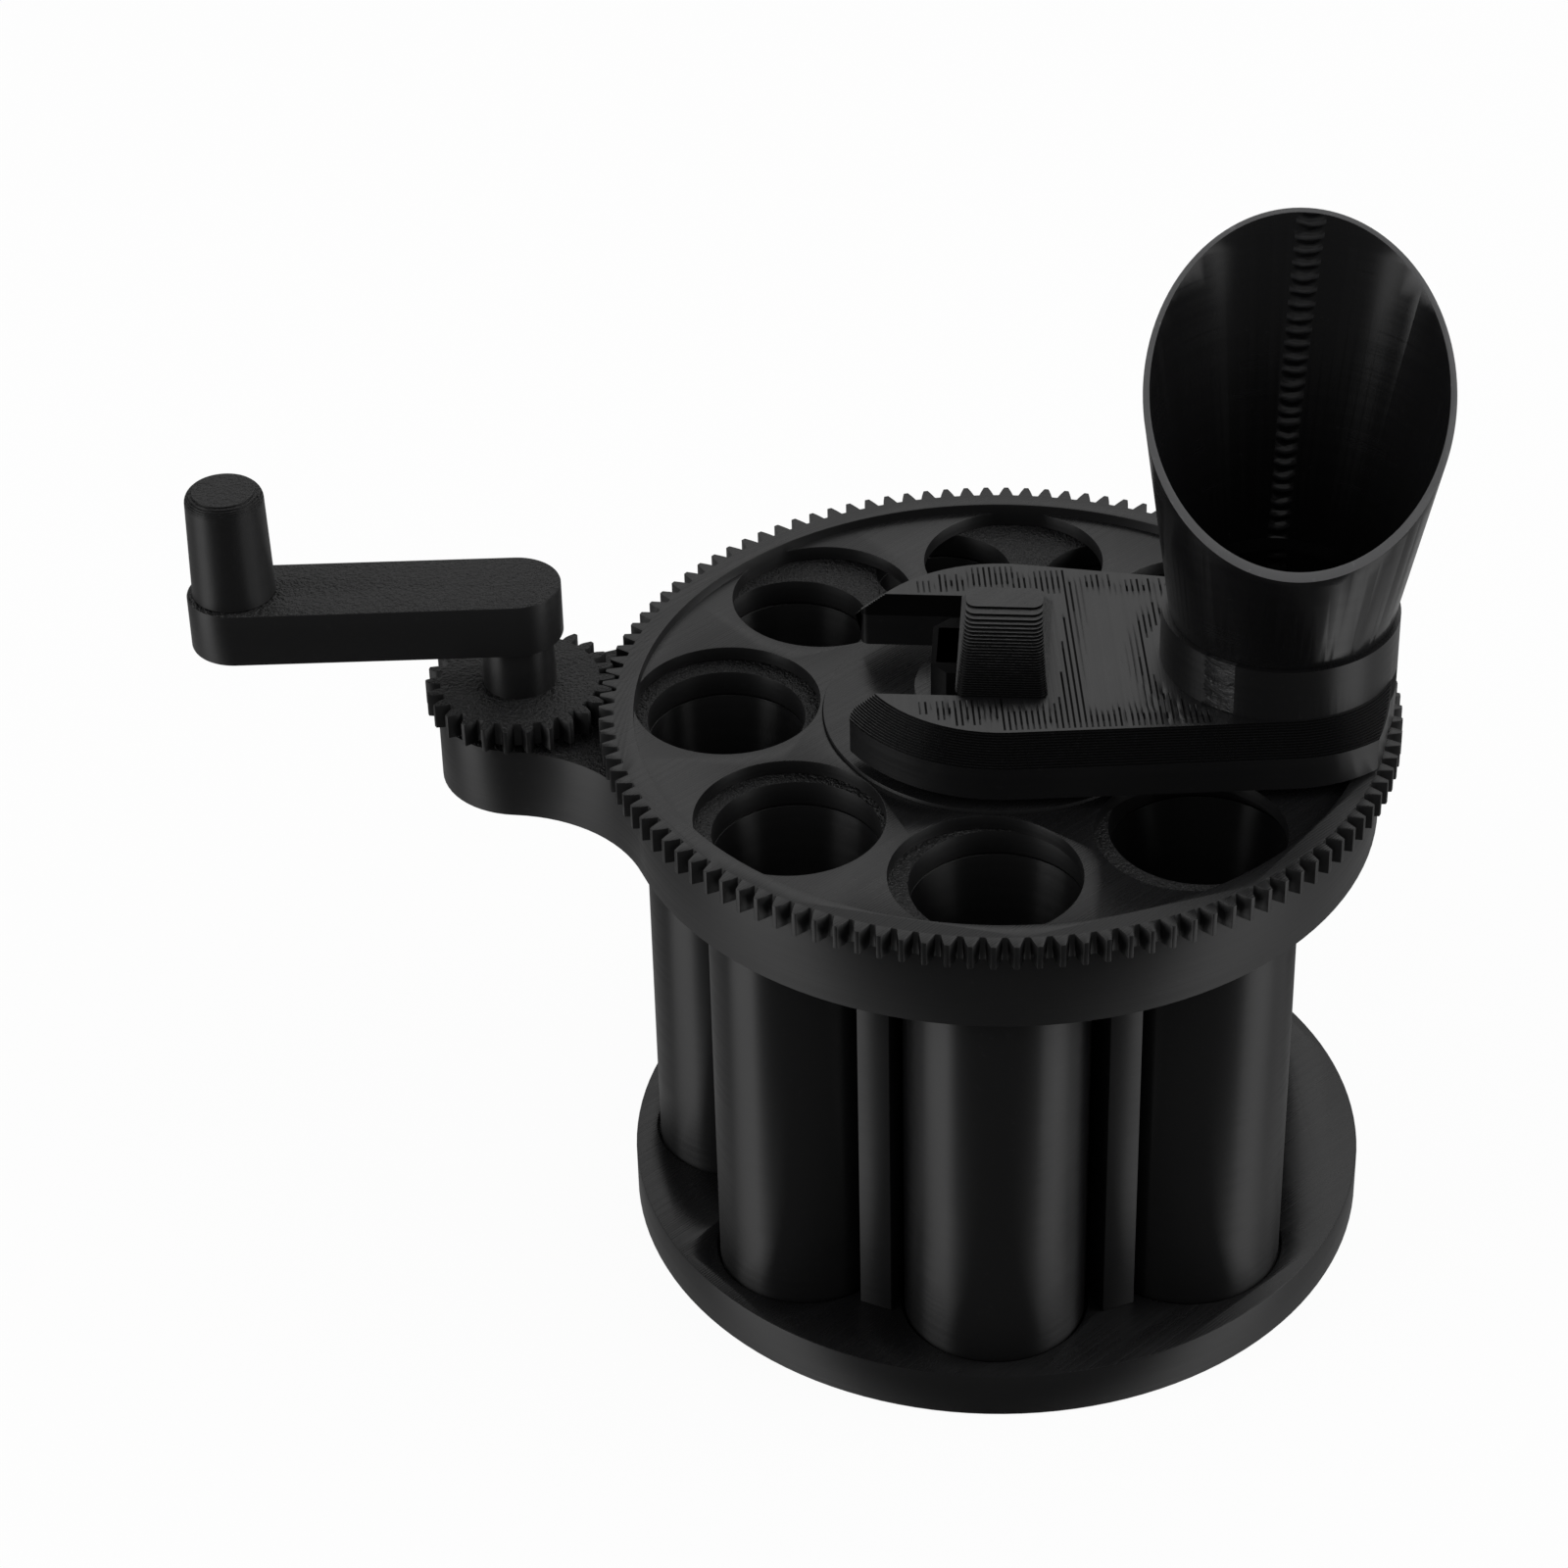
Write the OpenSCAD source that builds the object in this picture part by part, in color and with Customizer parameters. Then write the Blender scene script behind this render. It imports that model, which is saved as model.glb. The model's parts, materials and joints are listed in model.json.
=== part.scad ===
// Hand-cranked coin sorter: a round base, eight coin tubes, a toothed rotor and a funnel.
// Origin: centre of the base plate's underside. +X towards the funnel, +Z up. Millimetres.

/* [Base plate] */
// Thickness of the base plate
base_t = 7.9; // [6:0.1:12]
// How far the base plate reaches beyond the tubes
base_margin = 3.7; // [2:0.1:8]
// Depth of the sockets that the tubes stand in
socket_depth = 1.2; // [0.8:0.1:2.4]
// Clearance round a tube in its socket, on the radius
socket_play = 0.4; // [0.3:0.05:0.8]

/* [Coins] */
// Diameter of the smallest coin
coin_1_d = 16.25; // [15:0.25:17.5]
// Diameter of the second coin
coin_2_d = 18.75; // [17.5:0.25:19.5]
// Diameter of the third coin
coin_3_d = 19.75; // [18.5:0.25:20.5]
// Diameter of the fourth coin
coin_4_d = 21.25; // [20:0.25:22]
// Diameter of the fifth coin
coin_5_d = 22.25; // [21:0.25:23]
// Diameter of the sixth coin
coin_6_d = 23.25; // [22:0.25:24]
// Diameter of the seventh coin
coin_7_d = 24.25; // [23:0.25:25]
// Diameter of the largest coin
coin_8_d = 25.75; // [25:0.25:26.5]

/* [Coin tubes] */
// How much wider than its coin a tube's bore is
coin_play = 1.5; // [1:0.1:2]
// Wall of a tube
tube_wall = 1.0; // [0.8:0.1:1.4]
// Distance from the rotor's axis to the bore of the largest coin
bore_clear_r = 25.75; // [25:0.25:29]
// Direction of the smallest tube, counted from the funnel
tube_1_angle = 33; // [31:0.5:35]
// Direction of the second tube
tube_2_angle = 66; // [64:0.5:68]
// Direction of the third tube
tube_3_angle = 101.5; // [100:0.5:103]
// Direction of the fourth tube
tube_4_angle = 139.1; // [138:0.1:140]
// Direction of the fifth tube
tube_5_angle = 177.9; // [176:0.1:180]
// Direction of the sixth tube
tube_6_angle = 222.8; // [221:0.1:225]
// Direction of the seventh tube
tube_7_angle = 269; // [267:0.5:271]
// Direction of the largest tube
tube_8_angle = 317.5; // [316:0.5:319]
// Clearance above a tube's mouth
mouth_play = 0.3; // [0.2:0.1:0.6]

/* [Column] */
// Height of the column between the base plate and the head
column_h = 67.1; // [50:0.1:90]
// Diameter of the column's core
core_d = 46; // [40:0.5:48]
// Diameter of the hollow in the core
core_bore_d = 16; // [10:0.5:24]
// Width of the ribs between the tubes
rib_w = 5.2; // [4:0.1:6]
// How far the ribs' outer faces lie inside the circle that the bores touch
rib_inset = 6.9; // [4:0.1:10]
// Diameter of the spigot that the head drops over
spigot_d = 40; // [34:0.5:44]
// Height of that spigot
spigot_h = 4.5; // [3:0.1:5]

/* [Head] */
// Overall height of the head
head_t = 12.3; // [11:0.1:16]
// Thickness of the plate over the tubes' mouths
plate_t = 4.0; // [3:0.1:5]
// Wall of the head outside the tubes
head_margin = 2.8; // [2:0.1:6]
// Depth of the recess over the column's spigot
recess_depth = 6.8; // [6.5:0.1:8]
// Radius of the lug that carries the crank shaft
lug_r = 12.6; // [10:0.1:15]
// Radius of the hollow blends between the lug and the head
lug_blend_r = 23; // [15:0.5:30]
// How far the lug's top lies below the head's top
lug_drop = 0.6; // [0.4:0.1:2]

/* [Rotor] */
// Number of teeth on the rotor
rotor_teeth = 116; // [104:1:124]
// Number of teeth on the pinion
pinion_teeth = 26; // [24:1:28]
// Width of the rim, from the recess to the tooth tips
rim_w = 5.2; // [4.5:0.1:7]
// Gap between the circle of the bores and the rim's inside
rim_gap = 1.8; // [1:0.1:3]
// Height of the toothed rim
gear_t = 3.9; // [3:0.1:6]
// Depth of the recess inside the rim
rotor_recess = 1.6; // [1:0.1:1.8]
// Number of coin pockets
pockets = 8; // [6:1:8]
// How much wider than the largest coin a pocket is
pocket_play = 2.35; // [1.5:0.05:2.6]
// How far the pockets cut under the line of the rim's inside
pocket_bite = 0.35; // [0:0.05:0.6]
// Web between a pocket and the rotor's bore
pocket_web = 0.45; // [0.4:0.05:1.5]
// How far the first pocket is turned from the funnel
pocket_turn = -3.5; // [-22:0.5:22]
// Gap under the rotor
rotor_play = 0.1; // [0.05:0.05:0.3]
// Pressure angle of the teeth
pressure_angle = 20; // [18:1:25]
// How much thinner than even the teeth are
tooth_thinning = 0.12; // [0.05:0.01:0.2]
// How much further apart than touching the two gears are
mesh_play = 0.3; // [0.2:0.05:0.4]
// Angle of the pinion, seen from the rotor's centre
pinion_angle = 175.4; // [170:0.2:190]

/* [Hub] */
// Thickness of the bearing disc in the rotor's bore
hub_t = 2.9; // [2.5:0.1:4]
// Clearance between the rotor's bore and the disc, on the radius
hub_play = 0.1; // [0.05:0.05:0.1]
// Diameter of the round boss
boss_d = 25.7; // [24:0.1:27]
// How far the boss reaches up into the arm
boss_entry = 2.2; // [1.5:0.1:3]
// Length of the hollow post on the boss
post_l = 16.9; // [15:0.1:18]
// Width of the hollow post
post_w = 14.6; // [13:0.1:16]
// Wall of the hollow post towards its ends
post_end_wall = 0.9; // [0.8:0.1:1.8]
// Wall of the hollow post on its long sides
post_side_wall = 2.8; // [1:0.1:3.4]
// Size of the post's corner chamfers
post_chamfer = 2.4; // [1:0.1:3]
// How far the post's top lies below the arm's top
post_drop = 0.1; // [0.1:0.1:2]

/* [Hopper arm] */
// Gap between the rotor's rim and the arm
arm_gap = 0.7; // [0.4:0.1:1.5]
// Height of the arm's upright wall
arm_wall_h = 5.3; // [4:0.1:8]
// Height of the arm's sloped edge
arm_slope_h = 3.9; // [1:0.1:4.5]
// Width of the arm's sloped edge
arm_slope_w = 4.0; // [2:0.1:5]
// How far the arm turns from the X axis
arm_turn = -2.5; // [-6:0.5:6]
// How far the arm's round end lies inside the hub's bearing disc
arm_hub_inset = 0.3; // [0.1:0.1:2]
// How far the arm's flat top reaches beyond the collar
arm_lap = 0.1; // [0.1:0.1:3]
// How far inside the tooth tips the arm ends
arm_setback = 2.1; // [0.5:0.1:4]
// Radius that rounds the tips of the arm's two prongs
prong_tip_r = 1.2; // [0.5:0.1:2]
// Clearance between the slot and the boss, on each side
slot_play = 0.35; // [0.3:0.05:0.6]
// Where the slot ends, beyond the hub's centre
slot_end = 7.0; // [6:0.1:8]
// Height of the collar above the arm
collar_h = 8.4; // [5:0.1:14]
// Wall of the collar
collar_wall = 1.9; // [1.4:0.1:3]
// Gap between the rotor and the pad that holds the coins back
wiper_gap = 0.7; // [0.4:0.1:1.2]

/* [Funnel] */
// How far the funnel stands beyond the pockets' circle
chute_offset = 0; // [0:0.1:1]
// How much wider than the largest coin the chute is
chute_play = 1.45; // [1:0.05:2]
// Wall of the funnel's spigot
funnel_spigot_wall = 2.0; // [1.4:0.1:2.6]
// Depth of the funnel's spigot in the collar
funnel_spigot_h = 12.8; // [6:0.1:14]
// Clearance round the spigot, on the radius
funnel_play = 0.1; // [0.05:0.05:0.1]
// Wall of the funnel at its foot
funnel_wall = 1.9; // [1:0.1:2.4]
// Ledge of the collar that is left round the funnel's foot
funnel_ledge = 1.0; // [0.2:0.1:1.4]
// Angle between the funnel's wall and its axis
funnel_flare = 9.3; // [0:0.1:14]
// How much further the inside of the funnel opens, which thins the wall towards the mouth
funnel_thinning = 1.5; // [0:0.1:1.6]
// How far the funnel leans outwards
funnel_lean = 1.7; // [0:0.1:5]
// How far the funnel leans towards the low side of its mouth
funnel_nod = 4.2; // [0:0.1:6]
// Distance from the collar to the mouth's middle, along the funnel
mouth_h = 34; // [28:0.1:60]
// Slant of the mouth across the funnel
mouth_tilt = 36.5; // [0:0.5:40]

/* [Lock key] */
// Length of the block along the slot
key_l = 13.6; // [12:0.1:14]
// How far the block laps over the front edge of the slot, and over its end
key_lip = 0.3; // [0.2:0.1:1]
// How far the block laps over the back edge of the slot
key_back_lip = 1.0; // [0.2:0.1:1.5]
// Height of the block
key_h = 8.1; // [6:0.1:12]
// Length of the block's top face
key_top_l = 11.3; // [9:0.1:12]
// Width of the block's flat top, from which its back slopes straight down
key_top_w = 5.8; // [3:0.1:10]
// Radius of the block's corners
key_corner_r = 1.6; // [0.8:0.1:2.5]
// Depth of the shank below the arm's top
key_shank_h = 12; // [8:0.5:12]
// Clearance of the shank in the post, on each side
key_play = 0.3; // [0.2:0.05:0.5]
// Floor under the hub's shank hole
hub_floor = 1.4; // [1:0.1:1.5]

/* [Crank] */
// Distance from the crank's axis to the knob's axis
crank_r = 41.2; // [30:0.2:42]
// Direction of the crank, seen from its axis
crank_angle = 183.3; // [0:0.1:359]
// Width of the crank arm
crank_w = 14; // [12:0.2:18]
// Thickness of the crank arm
crank_t = 8.7; // [6:0.1:12]
// Diameter of the shaft above the pinion
shaft_d = 11; // [10.5:0.1:13]
// Height of the shaft above the pinion
shaft_h = 8.6; // [5:0.1:20]
// Diameter of the journal in the lug
journal_d = 7.6; // [6:0.1:7.6]
// Clearance of the journal, on the radius
journal_play = 0.05; // [0.02:0.01:0.1]
// Depth of the shaft's square end in the crank arm
tenon_h = 6; // [3:0.1:6]
// Width of that square end
tenon_w = 7; // [6:0.1:7.6]
// Thickness of the clip under the lug
clip_t = 1.6; // [1:0.1:2.2]
// Outer diameter of the clip
clip_d = 12.6; // [11:0.1:14]
// How much of the shaft is left below the clip
journal_tail = 0.8; // [0.6:0.1:2]
// Gap between the clip and the lug
clip_play = 0.2; // [0.1:0.1:0.4]
// Depth of the clip's groove in the shaft
groove_depth = 0.8; // [0.5:0.1:1.2]
// Opening of the clip
clip_mouth = 4.4; // [3:0.1:5]

/* [Knob] */
// Diameter of the knob at its foot
knob_d = 12.3; // [11:0.1:13.8]
// Diameter of the knob at its shoulder
knob_shoulder_d = 11.6; // [10:0.1:14]
// Height of the knob
knob_h = 17.3; // [14:0.1:30]
// Radius of the knob's shoulder
knob_round_r = 1.9; // [1:0.1:2.6]
// Gap between the knob and the crank arm
knob_gap = 0.3; // [0.1:0.1:0.6]
// Diameter of the knob's pin
pin_d = 5; // [4:0.1:6]
// Clearance of the pin in the knob, on the radius
pin_play = 0.05; // [0.02:0.01:0.1]
// Solid left above the pin in the knob
knob_cap_t = 3; // [2:0.1:5]
// Diameter of the pin's head
pin_head_d = 9; // [7:0.1:11]
// Thickness of the pin's head
pin_head_t = 2; // [1:0.1:3]

/* [Screws] */
// Diameter of the screws
screw_d = 3; // [2.5:0.1:3.5]
// Diameter of the screw heads
screw_head_d = 5.6; // [5:0.1:6.5]
// Height of the screw heads
screw_head_h = 1.7; // [1.4:0.1:2]
// Length of the base screws, with their heads
base_screw_l = 18; // [12:0.5:25]
// Number of base screws
base_screws_n = 4; // [3:1:6]
// Diameter of the base screws' circle
base_screw_pcd = 35; // [33:0.5:36]
// Distance between the two hub screws
hub_screw_span = 19; // [18.5:0.1:20]
// How far the hub screws reach into the hub
hub_screw_reach = 5; // [3:0.1:6]

/* [Hidden] */

$fn = 96;
// Facets of the rounded shapes that are stretched between outlines
hull_fn = 72;
// How far every cut runs past the face that it opens
over = 1;

plastic = [0.11, 0.11, 0.12];
plastic_dark = [0.07, 0.07, 0.08];
steel = [0.62, 0.63, 0.65];

// Heights
head_z = base_t + column_h;
head_top = head_z + head_t;
tube_z = base_t - socket_depth;
tube_top = head_top - plate_t - mouth_play;
rotor_z = head_top + rotor_play;
rotor_top = rotor_z + gear_t;
disc_top = rotor_top - rotor_recess;
hub_top = head_top + hub_t;
arm_z = rotor_top + arm_gap;
arm_top = arm_z + arm_wall_h + arm_slope_h;
collar_top = arm_top + collar_h;
boss_top = arm_z + boss_entry;
post_top = arm_top - post_drop;
lug_top = head_top - lug_drop;
shaft_top = rotor_top + shaft_h;
crank_top = shaft_top + crank_t;
knob_z = crank_top + knob_gap;
recess_top = head_z + recess_depth;

// Coins, bores and tubes, one entry for each size of coin
coins = [coin_1_d, coin_2_d, coin_3_d, coin_4_d, coin_5_d, coin_6_d, coin_7_d, coin_8_d];
function bore_r(i) = (coins[i] + coin_play) / 2;
function tube_r(i) = bore_r(i) + tube_wall;
// All the bores touch one circle from the inside
bore_reach_r = bore_clear_r + 2 * bore_r(len(coins) - 1);
function pitch_r(i) = bore_reach_r - bore_r(i);
tube_angles = [
    tube_1_angle, tube_2_angle, tube_3_angle, tube_4_angle,
    tube_5_angle, tube_6_angle, tube_7_angle, tube_8_angle
];
// A rib stands midway between its tube and the next, and the last one beside the first tube
function rib_angle(i) =
    i < len(coins) - 1
        ? (tube_angles[i] + tube_angles[i + 1]) / 2
        : (tube_angles[i] + tube_angles[0] + 360) / 2;

// Circles
base_r = bore_reach_r + tube_wall + base_margin;
head_r = bore_reach_r + tube_wall + socket_play + head_margin;
rib_r = bore_reach_r - rib_inset;
rim_bore_r = bore_reach_r + rim_gap;
tip_r = rim_bore_r + rim_w;
pocket_r = (coin_8_d + pocket_play) / 2;
pocket_ring_r = rim_bore_r + pocket_bite - pocket_r;
rotor_bore_r = pocket_ring_r - pocket_r - pocket_web;
hub_r = rotor_bore_r - hub_play;
slot_w = boss_d + 2 * slot_play;
chute_x = pocket_ring_r + chute_offset;
chute_r = (coin_8_d + chute_play) / 2;
funnel_spigot_r = chute_r + funnel_spigot_wall;
collar_bore_r = funnel_spigot_r + funnel_play;
collar_r = collar_bore_r + collar_wall;
arm_hub_r = hub_r - arm_hub_inset;
arm_end_r = collar_r + arm_lap + arm_slope_w;
post_right = slot_end - key_play;
post_left = post_right - post_l;
post_hole_w = post_w - 2 * post_side_wall;

// Gears
gear_module = 2 * tip_r / (rotor_teeth + 2);
pinion_x = gear_module * (rotor_teeth + pinion_teeth) / 2 + mesh_play;
pinion_at = [pinion_x * cos(pinion_angle), pinion_x * sin(pinion_angle), 0];
dedendum_share = 1.25;

// Turns an angle in degrees into the involute of that angle, in degrees
function involute(a) = tan(a) * 180 / PI - a;
function tooth_radii(teeth) =
    let (pitch = gear_module * teeth / 2)
    [pitch - dedendum_share * gear_module, pitch - gear_module / 2, pitch, pitch + gear_module];
// Half of the angle that a tooth covers at radius r
function half_tooth(teeth, r) =
    let (
        pitch = gear_module * teeth / 2,
        base = pitch * cos(pressure_angle),
        thinning = tooth_thinning / pitch * 90 / PI,
        slope = acos(min(1, base / max(r, base)))
    )
    90 / teeth - thinning + involute(pressure_angle) - involute(slope);
function tooth_points(teeth) =
    let (radii = tooth_radii(teeth), last = len(radii) - 1)
    [
        for (k = [0 : teeth - 1])
            for (j = [0 : 2 * last + 1])
                let (
                    r = j <= last ? radii[j] : radii[2 * last + 1 - j],
                    side = j <= last ? -1 : 1,
                    a = k * 360 / teeth + side * half_tooth(teeth, r)
                )
                [r * cos(a), r * sin(a)]
    ];

// An upright block with four round corners, centred on the Z axis
module rounded_block(l, w, r, h) {
    translate([-l / 2, r - w / 2, 0])
        cube([l, w - 2 * r, h]);
    translate([r - l / 2, -w / 2, 0])
        cube([l - 2 * r, w, h]);
    for (sx = [-1, 1])
        for (sy = [-1, 1])
            translate([sx * (l / 2 - r), sy * (w / 2 - r), 0])
                cylinder(r = r, h = h, $fn = 48);
}

module base_screw_places() {
    for (k = [0 : base_screws_n - 1])
        rotate([0, 0, (k + 0.5) * 360 / base_screws_n])
            translate([base_screw_pcd / 2, 0, 0])
                children();
}

module hub_screw_places() {
    for (side = [-1, 1])
        translate([0, side * hub_screw_span / 2, 0])
            children();
}

module base_plate() {
    color(plastic)
        difference() {
            cylinder(r = base_r, h = base_t, $fn = 192);
            for (i = [0 : len(coins) - 1])
                rotate([0, 0, tube_angles[i]])
                    translate([pitch_r(i), 0, tube_z])
                        cylinder(r = tube_r(i) + socket_play, h = socket_depth + over);
            base_screw_places() {
                translate([0, 0, -over])
                    cylinder(d = screw_d, h = base_t + 2 * over);
                translate([0, 0, -over])
                    cylinder(d = screw_head_d, h = screw_head_h + over);
            }
        }
}

module coin_tube(i) {
    color(plastic_dark)
        rotate([0, 0, tube_angles[i]])
            translate([pitch_r(i), 0, tube_z])
                difference() {
                    cylinder(r = tube_r(i), h = tube_top - tube_z);
                    translate([0, 0, -over])
                        cylinder(r = bore_r(i), h = tube_top - tube_z + 2 * over);
                }
}

// The core and its ribs from above, with room for the tubes
module column_outline() {
    difference() {
        union() {
            circle(d = core_d);
            for (i = [0 : len(coins) - 1])
                rotate([0, 0, rib_angle(i)])
                    translate([core_d / 2 - rib_w, -rib_w / 2])
                        square([rib_r - core_d / 2 + rib_w, rib_w]);
        }
        for (i = [0 : len(coins) - 1])
            rotate([0, 0, tube_angles[i]])
                translate([pitch_r(i), 0])
                    circle(r = tube_r(i) + socket_play);
    }
}

module column() {
    color(plastic)
        difference() {
            union() {
                translate([0, 0, base_t])
                    linear_extrude(height = column_h)
                        column_outline();
                translate([0, 0, head_z - over])
                    cylinder(d = spigot_d, h = spigot_h + over);
            }
            translate([0, 0, base_t - over])
                cylinder(d = core_bore_d, h = column_h + spigot_h + 2 * over);
            base_screw_places()
                translate([0, 0, base_t - over])
                    cylinder(d = screw_d, h = base_screw_l - base_t + over);
        }
}

// Outline of the lug with a hollow blend on each side of it
module lug_outline() {
    far = norm(pinion_at);
    a = head_r + lug_blend_r;
    b = lug_r + lug_blend_r;
    along = (a * a - b * b + far * far) / (2 * far);
    across = sqrt(a * a - along * along);
    rotate([0, 0, pinion_angle]) {
        translate([far, 0])
            circle(r = lug_r);
        difference() {
            polygon([[0, 0], [along, across], [far, 0], [along, -across]]);
            for (side = [-1, 1])
                translate([along, side * across])
                    circle(r = lug_blend_r, $fn = 192);
        }
    }
}

module head_plate() {
    color(plastic)
        difference() {
            union() {
                translate([0, 0, head_z])
                    cylinder(r = head_r, h = head_t, $fn = 192);
                translate([0, 0, head_z])
                    linear_extrude(height = head_t - lug_drop)
                        lug_outline();
            }
            for (i = [0 : len(coins) - 1])
                rotate([0, 0, tube_angles[i]])
                    translate([pitch_r(i), 0, 0]) {
                        translate([0, 0, head_z - over])
                            cylinder(r = bore_r(i), h = head_t + 2 * over);
                        translate([0, 0, head_z - over])
                            cylinder(r = tube_r(i) + socket_play, h = head_t - plate_t + over);
                    }
            translate([0, 0, head_z - over])
                cylinder(r = spigot_d / 2 + socket_play, h = recess_depth + over);
            hub_screw_places()
                translate([0, 0, head_z])
                    cylinder(d = screw_d, h = head_t + over);
            translate([pinion_at[0], pinion_at[1], head_z - over])
                cylinder(r = journal_d / 2 + journal_play, h = head_t + 2 * over);
        }
}

// What is turned with the arm: the post that it slides over, the funnel and the block
module turned() {
    rotate([0, 0, arm_turn])
        children();
}

module post_outline() {
    side = post_w / 2;
    cut = post_chamfer;
    polygon([
        [post_left + cut, -side], [post_right, -side], [post_right, side], [post_left + cut, side],
        [post_left, side - cut], [post_left, cut - side]
    ]);
}

module hub() {
    color(plastic)
        difference() {
            union() {
                translate([0, 0, head_top])
                    cylinder(r = hub_r, h = hub_t);
                translate([0, 0, head_top])
                    cylinder(d = boss_d, h = boss_top - head_top);
                turned()
                    translate([0, 0, head_top])
                        linear_extrude(height = post_top - head_top)
                            post_outline();
            }
            turned()
                translate([post_left + post_end_wall, -post_hole_w / 2, head_top + hub_floor])
                    cube([post_l - 2 * post_end_wall, post_hole_w, post_top - head_top]);
            hub_screw_places()
                translate([0, 0, head_top - over])
                    cylinder(d = screw_d, h = hub_screw_reach + over);
        }
}

module rotor() {
    color(plastic)
        difference() {
            translate([0, 0, rotor_z])
                rotate([0, 0, pinion_angle])
                    linear_extrude(height = gear_t)
                        polygon(tooth_points(rotor_teeth));
            translate([0, 0, disc_top])
                cylinder(r = rim_bore_r, h = rotor_recess + over, $fn = 192);
            translate([0, 0, rotor_z - over])
                cylinder(r = rotor_bore_r, h = gear_t + 2 * over);
            translate([0, 0, rotor_z - over])
                intersection() {
                    cylinder(r = rim_bore_r, h = gear_t + 2 * over, $fn = 192);
                    for (k = [0 : pockets - 1])
                        rotate([0, 0, pocket_turn + k * 360 / pockets])
                            translate([pocket_ring_r, 0, 0])
                                cylinder(r = pocket_r, h = gear_t + 2 * over);
                }
        }
}

// The two round ends of the arm, drawn in by a distance
module arm_ends(inset, h) {
    translate([0, 0, arm_z])
        cylinder(r = arm_hub_r - inset, h = h, $fn = hull_fn);
    translate([chute_x, 0, arm_z])
        cylinder(r = arm_end_r - inset, h = h, $fn = hull_fn);
}

// What is cut off a prong's tip to round it, on the side of the slot that side names
module prong_tip(side) {
    mid_y = slot_w / 2 + prong_tip_r;
    mid_x = -sqrt(pow(arm_hub_r - prong_tip_r, 2) - mid_y * mid_y);
    reach = (arm_hub_r + over) / (arm_hub_r - prong_tip_r);
    difference() {
        linear_extrude(height = arm_top - arm_z + 2 * over)
            polygon([
                [mid_x, side * mid_y], [mid_x, side * (slot_w / 2 - over)],
                [-arm_hub_r, side * (slot_w / 2 - over)], [mid_x * reach, side * mid_y * reach]
            ]);
        translate([mid_x, side * mid_y, -over])
            cylinder(r = prong_tip_r, h = arm_top - arm_z + 4 * over);
    }
}

module hopper_arm() {
    color(plastic)
        turned()
            difference() {
                union() {
                    intersection() {
                        hull() {
                            arm_ends(0, arm_wall_h);
                            arm_ends(arm_slope_w, arm_wall_h + arm_slope_h);
                        }
                        translate([0, 0, arm_z])
                            cylinder(r = tip_r - arm_setback, h = arm_top - arm_z, $fn = 192);
                    }
                    translate([chute_x, 0, arm_z])
                        cylinder(r = collar_r, h = collar_top - arm_z);
                    difference() {
                        intersection() {
                            translate([chute_x, 0, disc_top + wiper_gap])
                                cylinder(r = collar_r, h = arm_z - disc_top);
                            translate([0, 0, disc_top])
                                cylinder(r = rim_bore_r - arm_gap, h = arm_top - disc_top, $fn = 192);
                        }
                        translate([0, 0, disc_top])
                            cylinder(r = hub_r + arm_gap, h = arm_z - disc_top);
                    }
                }
                translate([slot_end - 2 * arm_hub_r, -slot_w / 2, arm_z - over])
                    cube([2 * arm_hub_r, slot_w, arm_top - arm_z + 2 * over]);
                translate([0, 0, arm_z - over]) {
                    cylinder(d = slot_w, h = boss_entry + over);
                    prong_tip(-1);
                    prong_tip(1);
                }
                translate([chute_x, 0, disc_top])
                    cylinder(r = chute_r, h = collar_top - disc_top + over);
                translate([chute_x, 0, collar_top - funnel_spigot_h])
                    cylinder(r = collar_bore_r, h = funnel_spigot_h + over);
            }
}

// Leans what stands on the collar's middle
module leaning() {
    rotate([funnel_nod, funnel_lean, 0])
        children();
}

module funnel() {
    foot_r = collar_r - funnel_ledge;
    rise = mouth_h + foot_r * tan(mouth_tilt) * 2;
    flare = tan(funnel_flare);
    bore_flare = tan(funnel_flare + funnel_thinning);
    bore_r = foot_r - funnel_wall;
    throat_h = bore_r - chute_r;
    dip = 2 * over;
    color(plastic)
        turned()
            translate([chute_x, 0, collar_top])
                difference() {
                    union() {
                        difference() {
                            leaning()
                                translate([0, 0, -dip])
                                    cylinder(
                                        r1 = foot_r - dip * flare, r2 = foot_r + rise * flare,
                                        h = rise + dip, $fn = 192
                                    );
                            translate([0, 0, -funnel_spigot_h])
                                cylinder(r = collar_r, h = funnel_spigot_h);
                        }
                        translate([0, 0, -funnel_spigot_h])
                            cylinder(r = funnel_spigot_r, h = funnel_spigot_h + over);
                    }
                    leaning() {
                        translate([0, 0, throat_h])
                            cylinder(
                                r1 = bore_r + throat_h * bore_flare,
                                r2 = bore_r + (rise + over) * bore_flare,
                                h = rise + over - throat_h, $fn = 192
                            );
                        translate([0, 0, -dip])
                            cylinder(
                                r1 = chute_r - dip * (1 + bore_flare),
                                r2 = bore_r + throat_h * bore_flare, h = throat_h + dip
                            );
                        translate([0, 0, mouth_h])
                            rotate([mouth_tilt, 0, 0])
                                translate([-2 * rise, -2 * rise, 0])
                                    cube([4 * rise, 4 * rise, 2 * rise]);
                    }
                    translate([0, 0, -funnel_spigot_h - over])
                        cylinder(r = chute_r, h = funnel_spigot_h + 2 * over);
                }
}

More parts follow.
